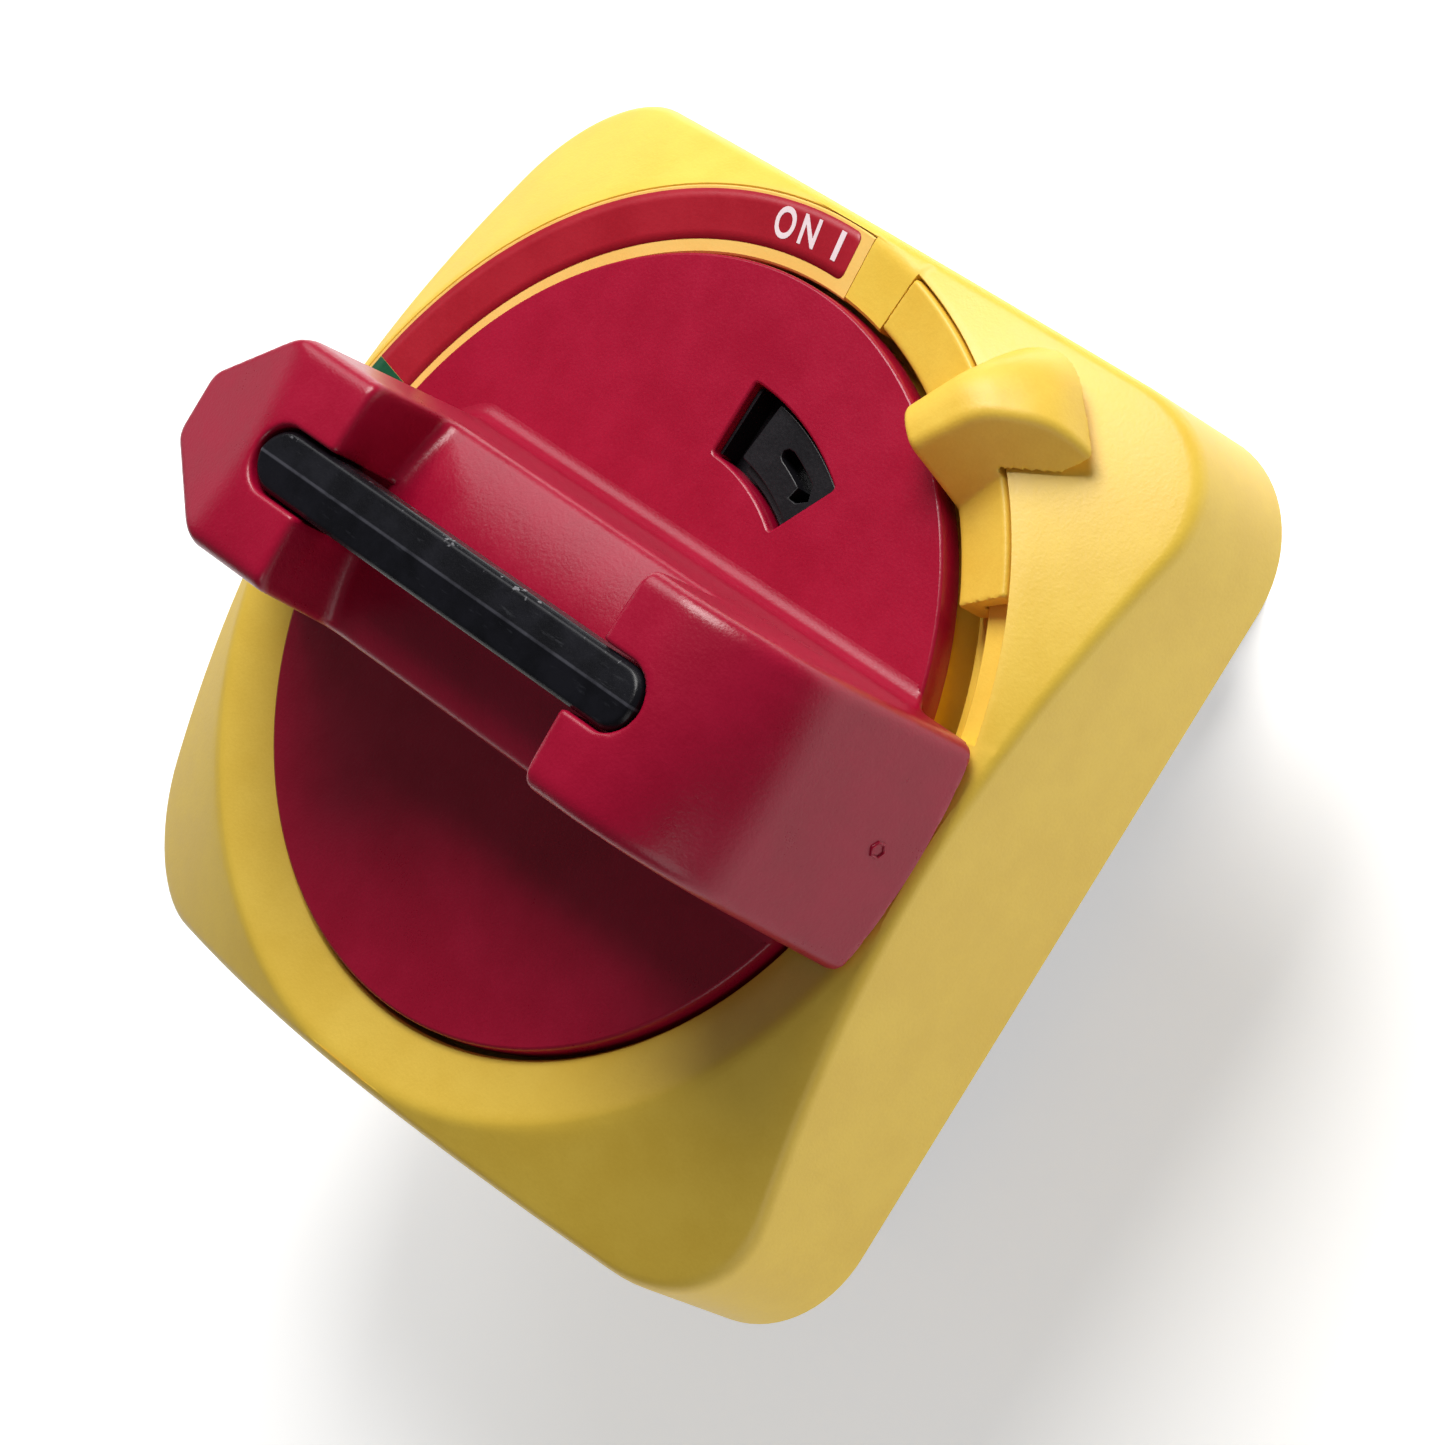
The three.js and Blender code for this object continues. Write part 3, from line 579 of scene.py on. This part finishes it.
def dish_points(kind):
    """The plate's section inside the crest: plain, or cut down for the slider or the label."""
    wall = GROOVE_WALL_R
    if kind == "plain":
        radii = (wall + 0.1, wall - 0.25, 43.5, 43, 42, 41, 40, 39.2, 38.6, RECESS_R + 0.25)
        return [(r, top_z(r)) for r in radii] + [(RECESS_R, top_z(RECESS_R) - 0.25)]
    points = [
        (wall + 0.1, top_z(wall + 0.1)), (wall, top_z(wall) - 0.12), (wall, LEDGE_Z + 0.2),
        (wall - 0.15, LEDGE_Z),
    ]
    if kind == "label":
        points += [(r, LEDGE_Z) for r in (43, 42, 41, 40, 39, RECESS_R + 0.2)]
        return points + [(RECESS_R, LEDGE_Z - 0.2)]
    return points + [
        (CHANNEL_R + 0.15, LEDGE_Z), (CHANNEL_R, LEDGE_Z - 0.15), (CHANNEL_R, CHANNEL_Z + 0.3),
        (CHANNEL_R - 0.3, CHANNEL_Z), (39.4, CHANNEL_Z), (RECESS_R + 0.2, CHANNEL_Z),
        (RECESS_R, CHANNEL_Z - 0.2),
    ]


def plate_section(degrees, kind):
    """The plate's closed section at an angle, from its foot up the wall, over the face and back inside."""
    outer = square_radius(PLATE_HALF, PLATE_CORNER_R, degrees)
    inner = square_radius(PLATE_HALF - WALL, PLATE_CORNER_R - WALL, degrees)
    fillet = PLATE_FILLET + 0.05 * (outer - PLATE_HALF)
    centre_z = face_z(outer - fillet) - fillet * math.hypot(1, FACE_SLOPE)
    lean = math.degrees(math.atan2(1, FACE_SLOPE))
    rounding = arc((outer - fillet, centre_z), fillet, 0, lean, 9)
    wall = [(outer, z) for z in np.linspace(PLATE_EDGE, centre_z, 7)[:-1]]
    start = min(rounding[-1][0] - 0.02, outer - 0.5 * fillet)
    crest = CREST_R + CREST_LIP
    if start > CREST_R + 0.3:
        radii = np.linspace(start, crest, FACE_POINTS + 2)[1:-1]
    else:
        radii = [crest] * FACE_POINTS
    face = [(r, top_z(r)) for r in radii]
    web_low, web_high = PLATE_WEB_Z
    underside = min(face_z(inner), DISH_INNER_Z) - WALL - 1
    inside = [
        (RECESS_R, web_high), (HUB_HOLE_R + 0.3, web_high), (HUB_HOLE_R, web_high - 0.3),
        (HUB_HOLE_R, web_low), (RECESS_R + WALL, web_low), (RECESS_R + WALL, underside),
        (inner, min(underside, face_z(inner) - WALL)), (inner, 0),
    ]
    return [(outer - PLATE_EDGE, 0)] + wall + rounding + face + dish_points(kind) + inside


def plate_rows():
    """Angles with the kind of section; both kinds meet where a recess ends."""
    edges = [(GROOVE_ARC, "slider"), (LABEL_POCKET, "label")]
    stops = sorted({0.0, 360.0} | {a for arc_, _ in edges for a in arc_})
    rows = []
    for low, high in zip(stops, stops[1:]):
        middle = (low + high) / 2
        kind = next((k for (a, b), k in edges if a < middle < b), "plain")
        count = max(2, round(high - low) + 1)
        rows += [(angle, kind) for angle in np.linspace(low, high, count)]
    return rows[:-1]


rows = plate_rows()
plate_shell = flipped(*turned(lambda angle, i: plate_section(angle, rows[i][1]), [a for a, _ in rows], True))
collar = tube(0, 0, *COLLAR_R, PLATE_WEB_Z[1] - 0.1, DISC_Z[0] - 0.25, 180, 0.15)
bosses = [
    tube(sx * BOSS_AT, sy * BOSS_AT, *BOSS_R, 0.2, PLATE_WEB_Z[0] + 0.1) for sx in (1, -1) for sy in (1, -1)
]
add_piece(
    "front_plate_moulding", [plate_shell, collar] + bosses, "switch_body", YELLOW,
    ["front_plate"], sharp=38,
)


# ---------------------------------------------------------------- label
def ring_section(r0, r1, bottom, soft):
    """A flat ring's section with its top in the dish and its two top edges softened."""
    radii = (r0 + soft, (r0 + r1) / 2, r1 - soft)
    top = [(r, dish_z(r)) for r in radii]
    return [(r0, bottom), (r0, dish_z(r0) - soft)] + top + [(r1, dish_z(r1) - soft), (r1, bottom)]


def label_carrier():
    section = ring_section(RECESS_R - 0.1, GROOVE_WALL_R - 0.08, LEDGE_Z + 0.3, 0.15)
    angles = np.linspace(LABEL_POCKET[0] + 0.12, LABEL_POCKET[1] - 0.12, 110)
    return turned(lambda a, i: section, angles, False, True)


def print_patch(start, end, corner_start, corner_end, lift=0.03):
    """A printed patch that follows the carrier's top, with rounded corners at its ends."""
    r0, r1 = PRINT_R
    middle = (r0 + r1) / 2
    length = rad(end - start) * middle

    def fine(radius):
        return radius * (1 - np.cos(np.linspace(0, math.pi / 2, 8)))

    spots = np.concatenate([
        fine(corner_start), np.linspace(corner_start, length - corner_end, 90)[1:-1],
        length - fine(corner_end)[::-1],
    ])
    inset = []
    for s in spots:
        near = [(corner_start, s), (corner_end, length - s)]
        inset.append(max(c - math.sqrt(max(0, c * c - (c - d) ** 2)) if d < c else 0 for c, d in near))

    def section(angle, i):
        radii = np.linspace(r0 + inset[i], r1 - inset[i], 6)
        top = [(r, dish_z(r) + lift) for r in radii]
        return top + [(r, dish_z(r) + lift - 0.02) for r in radii[::-1]]
    return turned(section, start + np.degrees(spots / middle), False, True)


def glyph(letter, height, width, degrees):
    """A printed letter on the carrier, upright with its top outward, centred at an angle."""
    text = bpy.data.curves.new("glyph", "FONT")
    text.body = letter
    text.size = 1.0
    text.offset = 0.022
    text.extrude = 0.01
    text.resolution_u = 8
    points, faces = curve_mesh(text)
    low, high = points.min(0), points.max(0)
    flat = (points - (low + high) / 2) / (high - low)
    across, up = flat[:, 0] * width, flat[:, 1] * height
    x, y = polar(LETTER_R + up, degrees - np.degrees(across / LETTER_R))
    z = dish_z(LETTER_R + up) + 0.05 + 0.02 * flat[:, 2]
    return np.stack([x, y, z], axis=1), faces


def add_label(name, parts, material, replaces=(), sharp=None):
    add_piece(name, parts, "switch_body", material, replaces, sharp)


add_label("label_carrier", [label_carrier()], LABEL_CARRIER, ["label_strip"], sharp=38)
add_label("label_on_print", [print_patch(*ON_FIELD, PRINT_CORNER, SQUARE_CORNER)], RED_PRINT)
add_label("label_off_print", [print_patch(*OFF_FIELD, SQUARE_CORNER, PRINT_CORNER)], GREEN_PRINT)
add_label("on_lettering", [glyph(*letter) for letter in ON_LETTERS], WHITE_PRINT, sharp=30)
add_label("off_lettering", [glyph(*letter) for letter in OFF_LETTERS], WHITE_PRINT, sharp=30)


# ---------------------------------------------------------------- interlock slider
def slider_field(x, y, z):
    r = np.hypot(x, y)
    top = (z - dish_z(r)) * DISH_COSINE
    ends = np.maximum(past_face(x, y, z, SLIDER_ARC[0] - 90), past_face(x, y, z, SLIDER_ARC[1] + 90))
    band = round_max(np.maximum(RING_R[0] - r, RING_UNDER_Z - z), r - RING_R[1], 0.5)
    band = round_max(band, top, 0.55)
    band = round_max(band, ends, 0.15)
    key = np.maximum(np.maximum(RING_R[0] - r, r - KEY_R), np.maximum(KEY_Z[0] - z, z - KEY_Z[1]))
    ring = np.minimum(band, np.maximum(key, ends))
    tab = round_max(z - TAB_TOP_Z, past_face(x, y, z, *TAB_SLOPE), 1.2)
    back = round_max(past_face(x, y, z, *TAB_BACK), past_face(x, y, z, *TAB_SHOULDER), 1.5)
    tab = round_max(tab, round_max(past_face(x, y, z, *TAB_OUTER), back, 3.0), 2.0)
    tab = round_max(tab, past_face(x, y, z, *TAB_FRONT), 0.8)
    tab = round_max(tab, np.maximum(TAB_INNER_R - r, y - TAB_MAX_Y), 0.6)
    over_face = np.maximum(face_z(r) + TAB_CLEARANCE, RING_UNDER_Z)
    tab = np.maximum(tab, np.where(r > GROOVE_WALL_R - 0.4, over_face, TAB_UNDER_Z) - z)
    return np.minimum(ring, tab)


slider = surface_net(slider_field, low=(6.5, 18.5, 16.8), high=(40.5, 46.0, 28.2), cell=0.24)
add_piece(
    "slider_moulding", [slider], "slider", YELLOW_SLIDER, ["interlock_slider"], sharp=42,
)


# ---------------------------------------------------------------- handle
def end_wall_x(y, z):
    """The grip's end wall, which leans outward as it falls and is bowed across."""
    return END_X + END_LEAN * (END_Z - z) - y * y / END_BOW


def grip_field(x, y, z):
    """The grip and its foot in the disc. Each leaning plane is divided by its gradient's length."""
    side = np.abs(y)
    r = np.hypot(x, y)
    walls = side - (GRIP_HALF_WIDTH - GRIP_DRAFT * (z - GRIP_BASE_Z))
    crown = z - CROWN_Z + CROWN_BOW * y * y + CROWN_FALL * np.maximum(x, 0)
    end_wall = (x - end_wall_x(y, z)) / 1.015
    facet = (z - FACET_Z - FACET_SLOPE * (x - FACET_X)) / 1.03
    spread = np.where(y > 0, *POINTER_SPREAD)
    pointer = (-0.6 * x + 0.8 * side - (POINTER_REACH + spread * (POINTER_Z - z))) / 1.05
    tip = (-x - (TIP_X + TIP_LEAN * (TIP_Z - z))) / 1.086
    body = arc_max(crown, end_wall, END_ROUND)
    body = round_max(body, walls, 1.7)
    body = round_max(body, round_max(pointer, tip, 0.8), 0.7)
    body = round_max(body, facet, 0.45)
    inner_left = GAP_X[0] - GAP_DRAFT[0] * (z - SADDLE_Z) - x
    inner_right = x - GAP_X[1] - GAP_DRAFT[1] * (z - SADDLE_Z)
    floor = SADDLE_CROWN_Z - SADDLE_BOW * y * y - z
    gap = round_max(round_max(inner_left, inner_right, 0.5), floor, 1.6)
    body = round_max(body, -gap, 0.9)
    slot = np.maximum(slot_field(x, y, BAR_HALF + 0.3, BAR_MIDDLE, SLOT_HALF_WIDTH), SLOT_FLOOR_Z - z)
    body = round_max(body, -slot, 0.45)
    for leg in LEG_X:
        hole = np.maximum(square_post(x, y, leg, LEG_HOLE_HALF), LEG_HOLE_Z - z)
        body = np.maximum(body, -hole)
    overhang = np.maximum(z - GRIP_BASE_Z, OVERHANG_R - r)
    body = round_max(body, -overhang, 0.35)
    disc = np.maximum(z - (DISC_Z[1] - 0.02), r - DISC_BLEND_R)
    return round_min(body, disc, 2.1)


def rounded_corners(corners, radii, steps=6):
    """Rounds the corners of a closed outline."""
    outline = []
    for i, (corner, radius) in enumerate(zip(corners, radii)):
        here = Vector(corner)
        before, after = Vector(corners[i - 1]), Vector(corners[(i + 1) % len(corners)])
        start = here + (before - here).normalized() * radius
        end = here + (after - here).normalized() * radius
        for t in np.linspace(0, 1, steps):
            outline.append(tuple((1 - t) ** 2 * start + 2 * t * (1 - t) * here + t * t * end))
    return outline


def circle(r, step):
    return [polar(r, a) for a in np.arange(0, 360, step)]


def sector(r0, r1, a0, a1, corner=0.0, count=16):
    """A ring sector, with its four corners rounded where corner is given."""
    outer = [polar(r1, a) for a in np.linspace(a0, a1, count)]
    inner = [polar(r0, a) for a in np.linspace(a1, a0, count)]
    if not corner:
        return outer + inner
    radii = [corner if i in (0, count - 1) else 0.02 for i in range(count)] * 2
    return rounded_corners(outer + inner, radii)


def disc_body():
    """The disc with its window, and the hub with its clip groove turned under it."""
    window = sector(*WINDOW_R, *WINDOW_ARC, 0.45)
    disc = plate_from_outlines([circle(DISC_R, 1.5), window], *DISC_Z, DISC_EDGE)
    hub = flipped(*turned(lambda a, i: HUB_OUTLINE, np.arange(0, 360, 3), True))
    return [disc, hub]


def gate_mark(y, z, lean=80.2):
    """The small raised ring that the mould leaves on the grip's end."""
    around = np.linspace(0, 2 * math.pi, 9)[:-1]
    outline = [(0.72 + 0.15 * math.cos(t), 0.2 * math.sin(t)) for t in around]
    points, faces = flipped(*turned(lambda a, i: outline, np.arange(0, 360, 60), True))
    turn = np.array(Matrix.Rotation(rad(lean), 3, "Y"))
    return points @ turn.T + (end_wall_x(y, z), y, z), faces


grip = surface_net(grip_field, low=(-46.0, -18.0, 21.2), high=(46.0, 18.0, 51.6), cell=0.36)
grip = keep_faces(*grip, lambda centres: centres[:, 2] > DISC_Z[1] - 0.012)
handle_parts = [grip, *disc_body(), gate_mark(*GATE_MARK)]
add_piece("handle_moulding", handle_parts, "handle_assembly", RED, ["handle"], sharp=50)


def lock_plate():
    """A ring under the disc with a pad that rises into the window, and a hooked slot in the pad."""
    hook = [polar(25.3, a) for a in np.linspace(62.6, 72.2, 7)]
    hook += [polar(25.1, 73.6), polar(24.6, 74.4), polar(24.1, 73.8)]
    hook += [polar(23.95, a) for a in np.linspace(72.6, 64.4, 6)]
    hook += [polar(22.7, 63.9), polar(23.1, 61.6), polar(24.3, 60.0)]
    pad = plate_from_outlines([sector(21.4, 27.25, 57.9, 82.5, 0.3), hook], *LOCK_PAD_Z, 0.1)
    step = plate_from_outlines([sector(20.55, 22.0, 57.9, 80.5, 0.2)], *LOCK_STEP_Z, 0.1)
    base = plate_from_outlines([circle(34.8, 3), circle(HUB_HOLE_R, 3)], *LOCK_RING_Z, 0.08)
    liner = plate_from_outlines([sector(20.5, 27.3, 88.2, 88.95)], *LOCK_LINER_Z)
    return [pad, step, base, liner]


add_piece(
    "lock_plate_moulding", lock_plate(), "handle_assembly", BLACK_INNER, ["lock_plate"],
    sharp=35,
)


# ---------------------------------------------------------------- padlock bar
def bar_field(x, y, z):
    """A round-ended bar with a low roof and chamfered top edges, on two square legs."""
    slope = (BAR_RIDGE_Z - BAR_EDGE_Z) / BAR_HALF_WIDTH
    plan = slot_field(x, y, BAR_HALF, BAR_MIDDLE, BAR_HALF_WIDTH)
    roof = np.maximum(z - BAR_RIDGE_Z - slope * y, z - BAR_RIDGE_Z + slope * y) / math.hypot(1, slope)
    body = round_max(round_max(plan, BAR_Z - z, 0.6), roof, 0.12)
    body = round_max(body, (plan + roof + BAR_CHAMFER) / 1.414, 0.12)
    for leg in LEG_X:
        post = np.maximum(square_post(x, y, leg, LEG_HALF), np.maximum(LEG_Z[0] - z, z - LEG_Z[1]))
        body = np.minimum(body, post)
    return body


bar = surface_net(bar_field, low=(-22.6, -3.8, 32.4), high=(32.6, 3.8, 50.0), cell=0.17)
add_piece("padlock_bar_moulding", [bar], "padlock_bar", BLACK_BAR, ["padlock_bar"], sharp=28)


# ---------------------------------------------------------------- springs
def coil(mean_r, wire_r, length, turns, sides=10, per_turn=30):
    """A coil spring along +Z from 0 to length, with closer turns at its ends and its middle."""
    share = np.linspace(0, 1, turns * per_turn + 1)
    rise = share - 0.055 * np.sin(4 * math.pi * share)
    around = np.linspace(0, 2 * math.pi, sides, endpoint=False)
    r = mean_r + wire_r * np.cos(around)
    rows = []
    for angle, z in zip(2 * math.pi * turns * share, wire_r + (length - 2 * wire_r) * rise):
        rows.append(np.stack([r * math.cos(angle), r * math.sin(angle), z + wire_r * np.sin(around)], axis=1))
    return flipped(*skin(rows, False, True))


def add_spring(node, body, axis, wire_r, turns=5):
    """A finer coil in a spring node's place, which rides on the given body and keeps its length as its joint
    moves.
    """
    low, high = (np.array(corner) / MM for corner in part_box(node))
    middle = (low + high) / 2
    along = int(np.argmax(np.abs(axis)))
    length = (high - low)[along]
    outer = (high - low)[(along + 1) % 3] / 2
    points, faces = coil(outer - wire_r, wire_r, length, turns)
    fixed = middle - np.array(axis) * length / 2
    turn = np.array(Vector((0, 0, 1)).rotation_difference(Vector(axis)).to_matrix())
    points = points @ turn.T + fixed - (0, 0, BEHIND_PANEL)
    piece = add_piece(node + "_coil", [(points, faces)], body, SPRING_STEEL, [node])
    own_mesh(piece)


for i, inward in ((1, (0, -1, 0)), (2, (0, 1, 0))):
    add_spring(f"bar_spring_{i}", "handle_assembly", (0, 0, 1), 0.3)
    add_spring(f"detent_spring_{i}", "switch_body", inward, 0.33)


# ---------------------------------------------------------------- camera, light and floor
def add_camera(place, view, up):
    """The photograph's own view: a long lens that looks along view, with up towards its top."""
    data = bpy.data.cameras.new("camera")
    data.lens = 137.0
    data.sensor_width = 36.0
    data.shift_x = 0.0035
    data.shift_y = 0.0153
    data.clip_start = 0.01
    camera = link(bpy.data.objects.new("camera", data))
    right = view.cross(up).normalized()
    upright = right.cross(view).normalized()
    turn = Matrix((right, upright, -view.normalized())).transposed().to_4x4()
    camera.matrix_world = Matrix.Translation(place) @ turn
    bpy.context.scene.camera = camera


def area_light(name, place, size, power, color):
    """A soft square light that points at the middle of the switch."""
    aim = Vector((0, 0, 0.045))
    data = bpy.data.lights.new(name, "AREA")
    data.shape = "SQUARE"
    data.size = size
    data.energy = power
    data.color = color
    lamp = link(bpy.data.objects.new(name, data))
    lamp.location = place
    lamp.visible_camera = False
    lamp.rotation_euler = (aim - Vector(place)).to_track_quat("-Z", "Y").to_euler()


add_camera(
    Vector((0.3300, 0.0343, 0.4171)), Vector((-0.64837, -0.07358, -0.75776)),
    Vector((-0.43560, 0.85216, 0.28997)),
)
area_light("key", (-0.08, 0.31, 0.385), size=0.26, power=2.4, color=(1.0, 0.985, 0.96))
area_light("fill", (-0.5, 0.43, 0.5), size=0.4, power=1.3, color=(0.97, 0.98, 1.0))
area_light("side", (-0.95, -0.08, 0.36), size=0.3, power=0.22, color=(0.95, 0.97, 1.0))
area_light("front", (0.52, -0.46, 0.3), size=0.4, power=0.8, color=(1.0, 0.98, 0.97))

world = bpy.data.worlds.new("studio")
world.use_nodes = True
world.node_tree.nodes["Background"].inputs["Color"].default_value = (0.93, 0.96, 1.0, 1)
world.node_tree.nodes["Background"].inputs["Strength"].default_value = 0.095
bpy.context.scene.world = world
bpy.context.scene.view_settings.view_transform = "Standard"


def pale_floor():
    """A plain floor that glows faintly, most of all under the switch, so that it stays near white."""
    n = Nodes("pale floor")
    color = n.mix(n.noise(6, 2, 0.5), (0.93, 0.93, 0.93, 1), (0.96, 0.96, 0.96, 1))
    away = n.add("ShaderNodeVectorMath", {0: n.place}, operation="LENGTH").outputs["Value"]
    n.shader.inputs["Emission Color"].default_value = (1, 1, 1, 1)
    n.tree.links.new(n.ramp(away, 0.2, 0.65, 0.46, 0.16), n.shader.inputs["Emission Strength"])
    return n.set(color=color, rough=0.9, level=0.1)


floor_mesh = bpy.data.meshes.new("floor")
floor_mesh.from_pydata([(-4, -4, 0), (4, -4, 0), (4, 4, 0), (-4, 4, 0)], [], [(0, 1, 2, 3)])
floor_mesh.materials.append(pale_floor())
floor = link(bpy.data.objects.new("floor", floor_mesh))
floor.location.z = FLOOR_Z
